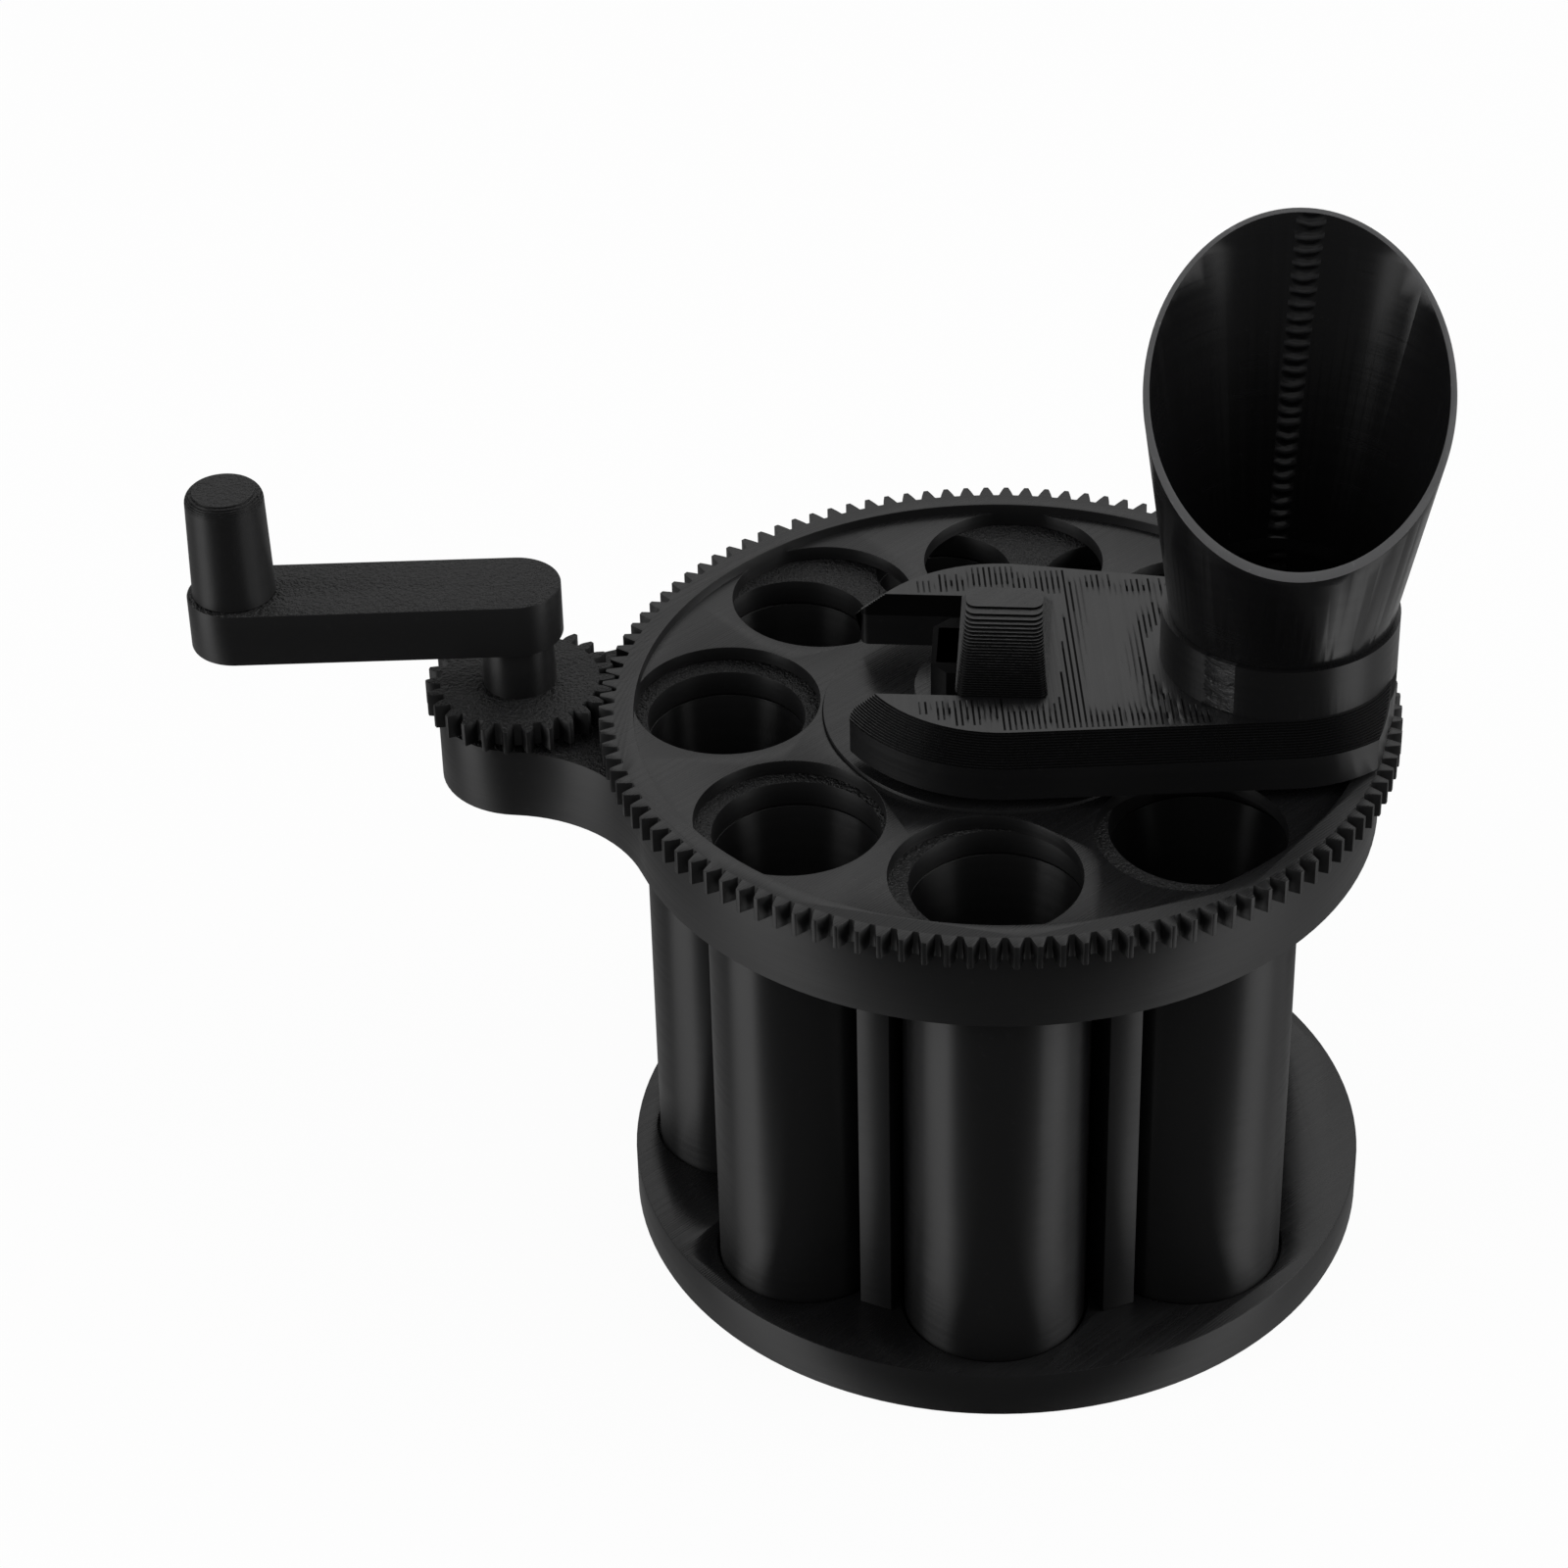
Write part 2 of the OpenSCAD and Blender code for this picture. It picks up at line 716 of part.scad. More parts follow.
module lock_key() {
    right = slot_end + key_lip;
    middle = right - key_l / 2;
    shank_left = right - key_l + key_play;
    shank_right = post_right - post_end_wall - key_play;
    shank_w = post_hole_w - 2 * key_play;
    foot_w = slot_w + key_lip + key_back_lip;
    // The block's front is an arch that would end at both edges of its foot
    arch_r = (key_h * key_h + foot_w * foot_w / 4) / (2 * key_h);
    color(plastic)
        turned() {
            translate([middle, (key_back_lip - key_lip) / 2, arm_top])
                intersection() {
                    rounded_block(key_l, foot_w, key_corner_r, key_h);
                    rotate([90, 0, 0])
                        linear_extrude(height = foot_w + 2 * over, center = true)
                            polygon([
                                [-key_l / 2, 0], [key_l / 2, 0],
                                [key_top_l / 2, key_h], [-key_top_l / 2, key_h]
                            ]);
                    translate([-key_l / 2 - over, 0, key_h - arch_r])
                        rotate([0, 90, 0])
                            cylinder(r = arch_r, h = key_l + 2 * over, $fn = 192);
                    rotate([90, 0, 90])
                        linear_extrude(height = key_l + 2 * over, center = true)
                            polygon([
                                [-foot_w / 2, 0], [foot_w / 2, 0],
                                [key_top_w / 2, key_h], [-foot_w / 2, key_h]
                            ]);
                }
            translate([shank_left, -shank_w / 2, arm_top - key_shank_h])
                cube([shank_right - shank_left, shank_w, key_shank_h]);
        }
}

// What belongs to the crank is drawn with the crank's axis in the middle
module on_crank_axis() {
    translate(pinion_at)
        children();
}

module on_knob_axis() {
    on_crank_axis()
        rotate([0, 0, crank_angle])
            translate([crank_r, 0, 0])
                children();
}

module square_bar(w, z, h) {
    translate([-w / 2, -w / 2, z])
        cube([w, w, h]);
}

module pinion() {
    color(plastic_dark)
        on_crank_axis()
            difference() {
                union() {
                    translate([0, 0, rotor_z])
                        rotate([0, 0, pinion_angle + 180 + 180 / pinion_teeth])
                            linear_extrude(height = gear_t)
                                polygon(tooth_points(pinion_teeth));
                    translate([0, 0, lug_top])
                        cylinder(d = shaft_d, h = gear_t);
                }
                square_bar(journal_d, lug_top - over, rotor_top - lug_top + 2 * over);
            }
}

module crank_shaft() {
    journal_z = head_z - clip_play - clip_t - journal_tail;
    color(plastic)
        on_crank_axis()
            difference() {
                union() {
                    translate([0, 0, journal_z])
                        cylinder(d = journal_d, h = shaft_top - journal_z);
                    square_bar(journal_d, lug_top, rotor_top - lug_top);
                    translate([0, 0, rotor_top])
                        cylinder(d = shaft_d, h = shaft_h);
                    square_bar(tenon_w, shaft_top, tenon_h);
                }
                translate([0, 0, head_z - clip_play - clip_t])
                    difference() {
                        cylinder(d = journal_d + over, h = clip_t);
                        translate([0, 0, -over])
                            cylinder(d = journal_d - 2 * groove_depth, h = clip_t + 2 * over);
                    }
            }
}

module shaft_clip() {
    color(steel)
        on_crank_axis()
            translate([0, 0, head_z - clip_play - clip_t])
                difference() {
                    cylinder(d = clip_d, h = clip_t);
                    translate([0, 0, -over])
                        cylinder(d = journal_d - 2 * groove_depth, h = clip_t + 2 * over);
                    translate([0, -clip_mouth / 2, -over])
                        cube([clip_d, clip_mouth, clip_t + 2 * over]);
                }
}

module crank_arm() {
    color(plastic)
        on_crank_axis()
            rotate([0, 0, crank_angle])
                difference() {
                    union() {
                        translate([0, 0, shaft_top])
                            cylinder(d = crank_w, h = crank_t);
                        translate([crank_r, 0, shaft_top])
                            cylinder(d = crank_w, h = crank_t);
                        translate([0, -crank_w / 2, shaft_top])
                            cube([crank_r, crank_w, crank_t]);
                    }
                    rotate([0, 0, -crank_angle])
                        square_bar(tenon_w, shaft_top - over, tenon_h + over);
                    translate([crank_r, 0, shaft_top - over])
                        cylinder(d = pin_d, h = crank_t + 2 * over);
                    translate([crank_r, 0, shaft_top - over])
                        cylinder(d = pin_head_d, h = pin_head_t + over);
                }
}

module knob_pin() {
    color(steel)
        on_knob_axis() {
            translate([0, 0, shaft_top])
                cylinder(d = pin_head_d, h = pin_head_t);
            translate([0, 0, shaft_top])
                cylinder(d = pin_d, h = knob_z + knob_h - knob_cap_t - knob_gap - shaft_top);
        }
}

module crank_knob() {
    foot = knob_d / 2;
    shoulder = knob_shoulder_d / 2;
    color(plastic)
        on_knob_axis()
            translate([0, 0, knob_z])
                difference() {
                    rotate_extrude()
                        union() {
                            polygon([
                                [0, 0], [foot, 0], [shoulder, knob_h - knob_round_r],
                                [shoulder - knob_round_r, knob_h - knob_round_r],
                                [shoulder - knob_round_r, knob_h], [0, knob_h]
                            ]);
                            translate([shoulder - knob_round_r, knob_h - knob_round_r])
                                intersection() {
                                    circle(r = knob_round_r);
                                    square(knob_round_r);
                                }
                        }
                    translate([0, 0, -over])
                        cylinder(r = pin_d / 2 + pin_play, h = knob_h - knob_cap_t + over);
                }
}

module base_screws() {
    color(steel)
        base_screw_places() {
            cylinder(d = screw_head_d, h = screw_head_h);
            cylinder(d = screw_d, h = base_screw_l);
        }
}

module hub_screws() {
    color(steel)
        hub_screw_places() {
            translate([0, 0, recess_top - screw_head_h])
                cylinder(d = screw_head_d, h = screw_head_h);
            translate([0, 0, recess_top - screw_head_h])
                cylinder(d = screw_d, h = head_top + hub_screw_reach - recess_top + screw_head_h);
        }
}

base_plate();
coin_tube(0);  // coin_tube_1
coin_tube(1);  // coin_tube_2
coin_tube(2);  // coin_tube_3
coin_tube(3);  // coin_tube_4
coin_tube(4);  // coin_tube_5
coin_tube(5);  // coin_tube_6
coin_tube(6);  // coin_tube_7
coin_tube(7);  // coin_tube_8
column();
head_plate();
hub();
rotor();
hopper_arm();
funnel();
lock_key();
pinion();
crank_shaft();
shaft_clip();
crank_arm();
knob_pin();
crank_knob();
base_screws();
hub_screws();
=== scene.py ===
"""Looks of the hand-cranked coin sorter: black printed plastic on a plain white ground.

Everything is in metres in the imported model's frame: Z is up, +X points to the funnel.
Numbers beside MM, and the named sizes of the pieces, are millimetres.
"""
import json
import math

import bmesh
import bpy
import numpy as np
from mathutils import Matrix, Vector

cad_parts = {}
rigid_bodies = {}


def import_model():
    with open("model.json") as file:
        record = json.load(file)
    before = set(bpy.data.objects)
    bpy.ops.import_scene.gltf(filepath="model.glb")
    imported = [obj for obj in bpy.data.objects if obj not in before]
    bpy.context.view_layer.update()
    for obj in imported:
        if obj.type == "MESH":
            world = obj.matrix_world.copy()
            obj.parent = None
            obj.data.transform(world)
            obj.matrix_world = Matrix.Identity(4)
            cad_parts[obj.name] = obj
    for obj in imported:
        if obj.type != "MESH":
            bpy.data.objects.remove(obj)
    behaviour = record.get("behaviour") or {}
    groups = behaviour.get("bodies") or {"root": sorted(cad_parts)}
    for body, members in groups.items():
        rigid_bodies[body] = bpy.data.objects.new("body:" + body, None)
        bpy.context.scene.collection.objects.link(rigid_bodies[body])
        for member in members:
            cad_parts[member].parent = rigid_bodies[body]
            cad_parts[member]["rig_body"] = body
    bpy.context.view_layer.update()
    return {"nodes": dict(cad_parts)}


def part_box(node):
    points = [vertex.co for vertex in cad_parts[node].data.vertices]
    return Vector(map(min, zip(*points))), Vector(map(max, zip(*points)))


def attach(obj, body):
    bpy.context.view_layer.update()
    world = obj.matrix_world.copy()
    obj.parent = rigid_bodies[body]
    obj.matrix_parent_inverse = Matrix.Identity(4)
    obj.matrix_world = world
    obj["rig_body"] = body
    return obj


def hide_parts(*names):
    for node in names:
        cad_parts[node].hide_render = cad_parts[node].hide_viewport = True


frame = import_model()

MM = 0.001
# Height of one printed layer, and how far apart the lines of a top layer are
LAYER = 0.28
LINE = 0.45
# Heights where the sloped edge of the hopper arm starts and ends
SLOPE_FOOT = 97.3
ARM_TOP = 101.2
# How far the arm turns from the X axis, and how far the lines on its top do, in degrees
ARM_TURN = -2.5
ARM_LINES_TURN = 3.8
# Middle of the chute, seen from above
CHUTE = (41.06, -1.79)
# How upright a normal is where a surface starts to count as a top, and where it fully does
TOP_FROM, TOP_FULL = 0.75, 0.92

BLACK = (0.0056, 0.0056, 0.0059)
# Paler colour for the funnel's slanted rim: a painted highlight
RIM_PAINTED_HIGHLIGHT = (0.085, 0.085, 0.087)
# Darker colour for faces in the slot, in the chute and on the risers of steps: painted shade
PAINTED_SHADE_BLACK = (0.0022, 0.0022, 0.0023)
# Paler colour for the collar's rough seam and the crests of the funnel's ripples: a painted sheen
PAINTED_SHEEN_GREY = (0.035, 0.035, 0.036)
STEEL = (0.55, 0.56, 0.58)


# Node helpers
class Tree:
    """A few short words for building a node tree."""

    def __init__(self, owner):
        owner.use_nodes = True
        self.tree = owner.node_tree
        self.tree.nodes.clear()

    def node(self, kind, **settings):
        node = self.tree.nodes.new(kind)
        for key, value in settings.items():
            setattr(node, key, value)
        return node

    def feed(self, value, socket):
        if isinstance(value, bpy.types.NodeSocket):
            self.tree.links.new(value, socket)
        elif value is not None:
            socket.default_value = value

    def math(self, operation, a, b=None, c=None, clamp=False):
        node = self.node("ShaderNodeMath", operation=operation, use_clamp=clamp)
        for socket, value in zip(node.inputs, (a, b, c)):
            self.feed(value, socket)
        return node.outputs[0]

    def mix(self, factor, a, b, kind="FLOAT"):
        node = self.node("ShaderNodeMix", data_type=kind)
        slots = {"FLOAT": (2, 3, 0), "VECTOR": (4, 5, 1), "RGBA": (6, 7, 2)}[kind]
        self.feed(factor, node.inputs[0])
        self.feed(a, node.inputs[slots[0]])
        self.feed(b, node.inputs[slots[1]])
        return node.outputs[slots[2]]

    def mix_shaders(self, factor, a, b):
        node = self.node("ShaderNodeMixShader")
        for socket, value in zip(node.inputs, (factor, a, b)):
            self.feed(value, socket)
        return node.outputs[0]

    def noise(self, vector, scale, detail=2.0, rough=0.5):
        node = self.node("ShaderNodeTexNoise")
        self.feed(vector, node.inputs["Vector"])
        node.inputs["Scale"].default_value = scale
        node.inputs["Detail"].default_value = detail
        node.inputs["Roughness"].default_value = rough
        return node.outputs[0]

    def chance(self, value):
        """A random number for each whole number."""
        node = self.node("ShaderNodeTexWhiteNoise", noise_dimensions="1D")
        self.feed(self.math("FLOOR", value), node.inputs["W"])
        return node.outputs[0]

    def humps(self, value):
        """A round hump from each whole number to the next."""
        return self.math("ABSOLUTE", self.math("SINE", self.math("MULTIPLY", value, math.pi)))

    def span(self, value, low, high, to_low=0.0, to_high=1.0):
        node = self.node("ShaderNodeMapRange")
        self.feed(value, node.inputs["Value"])
        for name, number in zip(
            ("From Min", "From Max", "To Min", "To Max"), (low, high, to_low, to_high)
        ):
            node.inputs[name].default_value = number
        return node.outputs[0]

    def scaled(self, vector, factors, turn=0.0):
        node = self.node("ShaderNodeMapping")
        self.feed(vector, node.inputs["Vector"])
        node.inputs["Scale"].default_value = factors
        node.inputs["Rotation"].default_value = (0, 0, turn)
        return node.outputs[0]

    def parts(self, vector):
        node = self.node("ShaderNodeSeparateXYZ")
        self.feed(vector, node.inputs[0])
        return node.outputs

    def finish(self, kind, shader):
        out = self.node(kind)
        self.feed(shader, out.inputs["Surface"])


# Materials
def layers(t, place, height, depth):
    """Ridges of the layers, each with its own height, and a slow wobble along the wall."""
    drift = t.noise(t.scaled(place, (90, 90, 600)), 1.0, 2.0)
    level = t.math("MULTIPLY_ADD", drift, 0.35, t.math("DIVIDE", height, LAYER * MM))
    own = t.chance(level)
    ridge = t.math("MULTIPLY", t.humps(level), t.span(own, 0, 1, 0.55, 1.0))
    ripple = t.noise(t.scaled(place, (260, 260, 1800)), 1.0, 3.0)
    wall = t.math("MULTIPLY_ADD", ripple, 0.6, ridge)
    return own, t.math("MULTIPLY", wall, depth * MM)


def last_layer(t, place, turn, depth, grain):
    """Lines of the last layer, each with its own height, and the grain of a rough top."""
    sideways = t.parts(t.scaled(place, (1, 1, 1), turn))[0]
    wander = t.noise(place, 260.0, 2.0)
    across = t.math("MULTIPLY_ADD", wander, 0.5, t.math("DIVIDE", sideways, LINE * MM))
    own = t.chance(across)
    bead = t.math("MULTIPLY", t.humps(across), t.span(own, 0, 1, 0.5, 1.0))
    top = t.math("MULTIPLY", bead, depth * MM)
    if grain:
        speck = t.noise(place, 1700.0, 2.0, 0.6)
        top = t.math("MULTIPLY_ADD", speck, grain * MM, top)
    return own, top


def uneven_gloss(t, place, mean, uneven):
    """Some layers came out glossier than others, and the sheen drifts along the wall."""
    patchy = t.noise(t.scaled(place, (60, 60, 40)), 1.0, 3.0)
    rough = t.math("MULTIPLY_ADD", t.math("SUBTRACT", patchy, 0.5), 0.12, mean)
    return t.math("MULTIPLY_ADD", t.math("SUBTRACT", uneven, 0.5), 0.05, rough)


def dusted(t, place, color):
    """The plastic's colour with a few paler specks."""
    dust = t.span(t.noise(place, 900.0, 4.0, 0.7), 0.62, 0.74)
    pale = [min(1.0, c * 2.2 + 0.004) for c in color]
    return t.mix(t.math("MULTIPLY", dust, 0.5), (*color, 1), (*pale, 1), "RGBA")


def printed(
    name, color, rough=0.45, top_rough=0.36, wall_depth=0.004, top_depth=0.015, grain_depth=0.0,
    line_turn=45.0, specular=0.33, streak=1.0, extra=None,
):
    """Black plastic laid down in layers: ridges round the walls, lines or grain on the tops.

    The depths are millimetres, line_turn is in degrees, and extra adds one more form to the
    surface and says where it is drawn paler, as a painted sheen.
    """
    material = bpy.data.materials.new(name)
    t = Tree(material)
    sockets = t.node("ShaderNodeTexCoord").outputs
    place, normal = sockets["Object"], t.parts(sockets["Normal"])
    height = t.parts(place)[2]
    turn = math.radians(line_turn)
    flat = t.span(t.math("ABSOLUTE", normal[2]), TOP_FROM, TOP_FULL)

    wall_luck, wall = layers(t, place, height, wall_depth)
    top_luck, top = last_layer(t, place, turn, top_depth, grain_depth)
    relief = t.mix(flat, wall, top)
    tint = dusted(t, place, color)
    if extra:
        more, painted_sheen = extra(t, place, height, normal)
        relief = t.math("ADD", relief, more)
        # Painted sheen: where extra says, the colour turns paler
        tint = t.mix(painted_sheen, tint, (*PAINTED_SHEEN_GREY, 1), "RGBA")
    bump = t.node("ShaderNodeBump")
    bump.inputs["Strength"].default_value = 1.0
    bump.inputs["Distance"].default_value = 1.0
    t.feed(relief, bump.inputs["Height"])
    mean, uneven = t.mix(flat, rough, top_rough), t.mix(flat, wall_luck, top_luck)
    roughness = uneven_gloss(t, place, mean, uneven)
    if grain_depth:
        roughness = t.math("MULTIPLY_ADD", flat, 0.12, roughness)

    shader = t.node("ShaderNodeBsdfPrincipled")
    shader.inputs["Specular IOR Level"].default_value = specular
    shader.inputs["Anisotropic"].default_value = streak
    t.feed(tint, shader.inputs["Base Color"])
    t.feed(roughness, shader.inputs["Roughness"])
    t.feed(bump.outputs[0], shader.inputs["Normal"])
    along = t.mix(flat, (0, 0, 1), (math.cos(turn), -math.sin(turn), 0), "VECTOR")
    t.feed(along, shader.inputs["Tangent"])
    t.finish("ShaderNodeOutputMaterial", shader.outputs[0])
    return material


def round_chute(t, place):
    """Angle in degrees round the chute's middle, counted from the front."""
    where = t.parts(place)
    x = t.math("SUBTRACT", where[0], CHUTE[0] * MM)
    y = t.math("SUBTRACT", where[1], CHUTE[1] * MM)
    angle = t.math("ARCTAN2", x, t.math("MULTIPLY", y, -1.0))
    return t.math("MULTIPLY", angle, 180 / math.pi)


def seam_patch(t, place, height, normal):
    """The rough place on the collar where its layers start and end, between two angles, drawn
    paler in patches: a painted sheen.
    """
    first, last, ragged, foot, full = -46.0, -25.5, 9.0, 101.0, 101.3
    depth, lean_from, lean_depth = 0.35, -42.0, 0.07
    angle = round_chute(t, place)
    torn = t.noise(t.scaled(place, (500, 500, 900)), 1.0, 3.0, 0.6)
    start = t.math("MULTIPLY_ADD", torn, ragged, first)
    inside = t.math(
        "MULTIPLY", t.math("GREATER_THAN", angle, start), t.math("LESS_THAN", angle, last)
    )
    inside = t.math("MULTIPLY", inside, t.span(height, foot * MM, full * MM))
    lean = t.math("MULTIPLY", t.math("SUBTRACT", angle, lean_from), lean_depth * MM)
    # Painted sheen: a paler colour in patches over the rough seam
    painted_sheen = t.math("MULTIPLY", inside, t.span(torn, 0.4, 0.7, 0.0, 0.5))
    return t.math("MULTIPLY", inside, t.math("MULTIPLY_ADD", torn, depth * MM, lean)), painted_sheen


def seam_ripples(t, place, height, normal):
    """The row of small crescents down the inside of the funnel, over its seam, with a painted
    highlight, a paler colour, on the crest of each.
    """
    foot, mouth, foot_angle, mouth_angle = 110.0, 162.0, 179.0, 171.0
    half_angle, pitch, depth, bend = 6.0, 2.1, 0.20, -0.28
    angle = round_chute(t, place)
    angle = t.math("MULTIPLY_ADD", t.math("LESS_THAN", angle, 0.0), 360.0, angle)
    middle = t.span(height, foot * MM, mouth * MM, foot_angle, mouth_angle)
    off = t.math("DIVIDE", t.math("SUBTRACT", angle, middle), half_angle)
    reach = t.math("MULTIPLY", off, off)
    inside = t.math("SUBTRACT", 1.0, reach, clamp=True)
    inside = t.math("MULTIPLY", inside, t.math("LESS_THAN", normal[1], 0.0))
    torn = t.noise(t.scaled(place, (300, 300, 500)), 1.0, 2.0)
    rise = t.math("MULTIPLY_ADD", reach, bend, t.math("DIVIDE", height, pitch * MM))
    rise = t.math("MULTIPLY_ADD", torn, 0.5, rise)
    wave = t.math("SINE", t.math("MULTIPLY", rise, 2 * math.pi))
    # Painted highlight: a paler colour on the crest of each ripple
    pale = t.span(wave, 0.3, 1.0, 0.0, 0.55)
    painted_sheen = t.math("MULTIPLY", t.math("GREATER_THAN", inside, 0.02), pale)
    return t.math("MULTIPLY", inside, t.math("MULTIPLY", wave, depth * MM)), painted_sheen


def brushed(name, color, rough):
    """Plain steel with fine drawn lines."""
    material = bpy.data.materials.new(name)
    t = Tree(material)
    place = t.node("ShaderNodeTexCoord").outputs["Object"]
    lines = t.noise(t.scaled(place, (500, 500, 4000)), 1.0, 3.0)
    shader = t.node("ShaderNodeBsdfPrincipled")
    shader.inputs["Metallic"].default_value = 1.0
    dark = [c * 0.85 for c in color]
    t.feed(t.mix(lines, (*dark, 1), (*color, 1), "RGBA"), shader.inputs["Base Color"])
    t.feed(t.span(lines, 0, 1, rough - 0.08, rough + 0.1), shader.inputs["Roughness"])
    t.finish("ShaderNodeOutputMaterial", shader.outputs[0])
    return material


plastic = printed("printed_black", BLACK, rough=0.40, top_rough=0.28, streak=0.85)
arm_plastic = printed(
    "printed_black_arm", BLACK, rough=0.33, top_rough=0.30, top_depth=0.006,
    line_turn=-ARM_LINES_TURN, streak=0.85, extra=seam_patch,
)
key_plastic = printed(
    "printed_black_key", BLACK, rough=0.27, top_rough=0.27, wall_depth=0.002, top_depth=0.004,
    grain_depth=0.1, specular=0.45, streak=0.4,
)
grainy = printed("printed_black_grainy", BLACK, top_depth=0.006, grain_depth=0.7, streak=0.8)
tube_plastic = printed("printed_black_tube", BLACK, rough=0.34, wall_depth=0.0010)
funnel_plastic = printed(
    "printed_black_funnel", BLACK, rough=0.24, wall_depth=0.0008, streak=0.6, extra=seam_ripples
)
# The funnel's rim drawn paler: a painted highlight
rim_painted_highlight = printed("printed_black_rim_painted_highlight", RIM_PAINTED_HIGHLIGHT, top_rough=0.5, grain_depth=0.05, streak=0.0)
# A darker, duller black: painted shade
painted_shade = printed("printed_black_painted_shade", PAINTED_SHADE_BLACK, rough=0.5, top_rough=0.6, specular=0.06)
steel = brushed("steel_plain", STEEL, rough=0.3)


# Mesh helpers
def clean_mesh(node):
    """A copy of a CAD node's mesh with its flat faces in one piece."""
    mesh = frame["nodes"][node].data.copy()
    mesh.name = node + "_skin"
    mesh.materials.clear()
    b = bmesh.new()
    b.from_mesh(mesh)
    bmesh.ops.remove_doubles(b, verts=b.verts, dist=0.002 * MM)
    bmesh.ops.dissolve_limit(
        b, angle_limit=math.radians(0.3), verts=b.verts, edges=b.edges, delimit={"NORMAL"}
    )
    b.to_mesh(mesh)
    b.free()
    return mesh


def clean_copy(node, width):
    """A CAD node's shape with its edges rounded by width."""
    piece = bpy.data.objects.new(node + "_skin", clean_mesh(node))
    bpy.context.scene.collection.objects.link(piece)
    bevel = piece.modifiers.new("edge", "BEVEL")
    bevel.width = width * MM
    bevel.segments = 2
    bevel.limit_method = "ANGLE"
    bevel.angle_limit = math.radians(35)
    bevel.miter_outer = "MITER_ARC"
    apply_modifiers(piece)
    shade(piece)
    return piece


def apply_modifiers(piece):
    """Puts the modifiers' result into the mesh."""
    depsgraph = bpy.context.evaluated_depsgraph_get()
    mesh = bpy.data.meshes.new_from_object(piece.evaluated_get(depsgraph))
    piece.modifiers.clear()
    old = piece.data
    piece.data = mesh
    bpy.data.meshes.remove(old)


def shade(piece):
    """Smooth faces with sharp creases."""
    crease = math.radians(30)
    b = bmesh.new()
    b.from_mesh(piece.data)
    for face in b.faces:
        face.smooth = True
    for edge in b.edges:
        if len(edge.link_faces) == 2:
            edge.smooth = edge.calc_face_angle(0.0) < crease
    b.to_mesh(piece.data)
    b.free()


def claim(piece, node, slot, *materials):
    """Lets a piece stand for its node."""
    for material in materials:
        piece.data.materials.append(material)
    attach(piece, frame["nodes"][node]["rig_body"])
    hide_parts(node)
    return piece


def dress(node, slot, width, *materials):
    """A CAD node's shape with rounded edges, standing for that node."""
    return claim(clean_copy(node, width), node, slot, *materials)


def paint(piece, index, chosen):
    """Gives the piece's material of this number to the faces that chosen picks."""
    for face in piece.data.polygons:
        if chosen(face):
            face.material_index = index


def new_piece(name, b):
    """A piece made of this mesh, which is used up."""
    mesh = bpy.data.meshes.new(name)
    bmesh.ops.recalc_face_normals(b, faces=b.faces)
    b.to_mesh(mesh)
    b.free()
    piece = bpy.data.objects.new(name, mesh)
    bpy.context.scene.collection.objects.link(piece)
    shade(piece)
    return piece


def cut(b, faces, at, direction):
    """Cuts faces along a plane."""
    edges = dict.fromkeys(e for f in faces for e in f.edges)
    verts = dict.fromkeys(v for f in faces for v in f.verts)
    bmesh.ops.bisect_plane(
        b, geom=[*verts, *edges, *faces], dist=1e-8, plane_co=at, plane_no=direction
    )


def terrace(b, low, high):
    """Turns the slanted faces between two heights into steps, one for each printed layer."""
    count = round((high - low) / (LAYER * MM))
    layer = (high - low) / count
    hair = 0.003 * MM
    levels = [low + hair, high - hair]
    for k in range(1, count):
        levels += [low + k * layer - hair, low + k * layer + hair]
    for z in levels:
        cut(b, list(b.faces), (0, 0, z), (0, 0, 1))
    b.normal_update()
    moved = []
    for v in b.verts:
        if not low + hair / 2 < v.co.z < high - hair / 2:
            continue
        if not any(0.15 < abs(f.normal.z) < 0.95 for f in v.link_faces):
            continue
        step = math.floor((v.co.z - low) / layer)
        for e in v.link_edges:
            other = e.other_vert(v)
            rise = other.co.z - v.co.z
            if abs(rise) > 2 * hair and math.floor((other.co.z - low) / layer) == step:
                slope = (other.co - v.co) / rise
                part = low + (step + 0.5) * layer - v.co.z
                moved.append((v, v.co.x + slope.x * part, v.co.y + slope.y * part))
                break
    for v, x, y in moved:
        v.co.x, v.co.y = x, y


def distance(point, starts, sides):
    """How far a point lies from the nearest of some straight lines, seen from above."""
    share = ((point - starts) * sides).sum(1) / np.maximum((sides * sides).sum(1), 1e-18)
    nearest = starts + sides * np.clip(share, 0, 1)[:, None]
    return np.sqrt(((nearest - point) ** 2).sum(1).min())


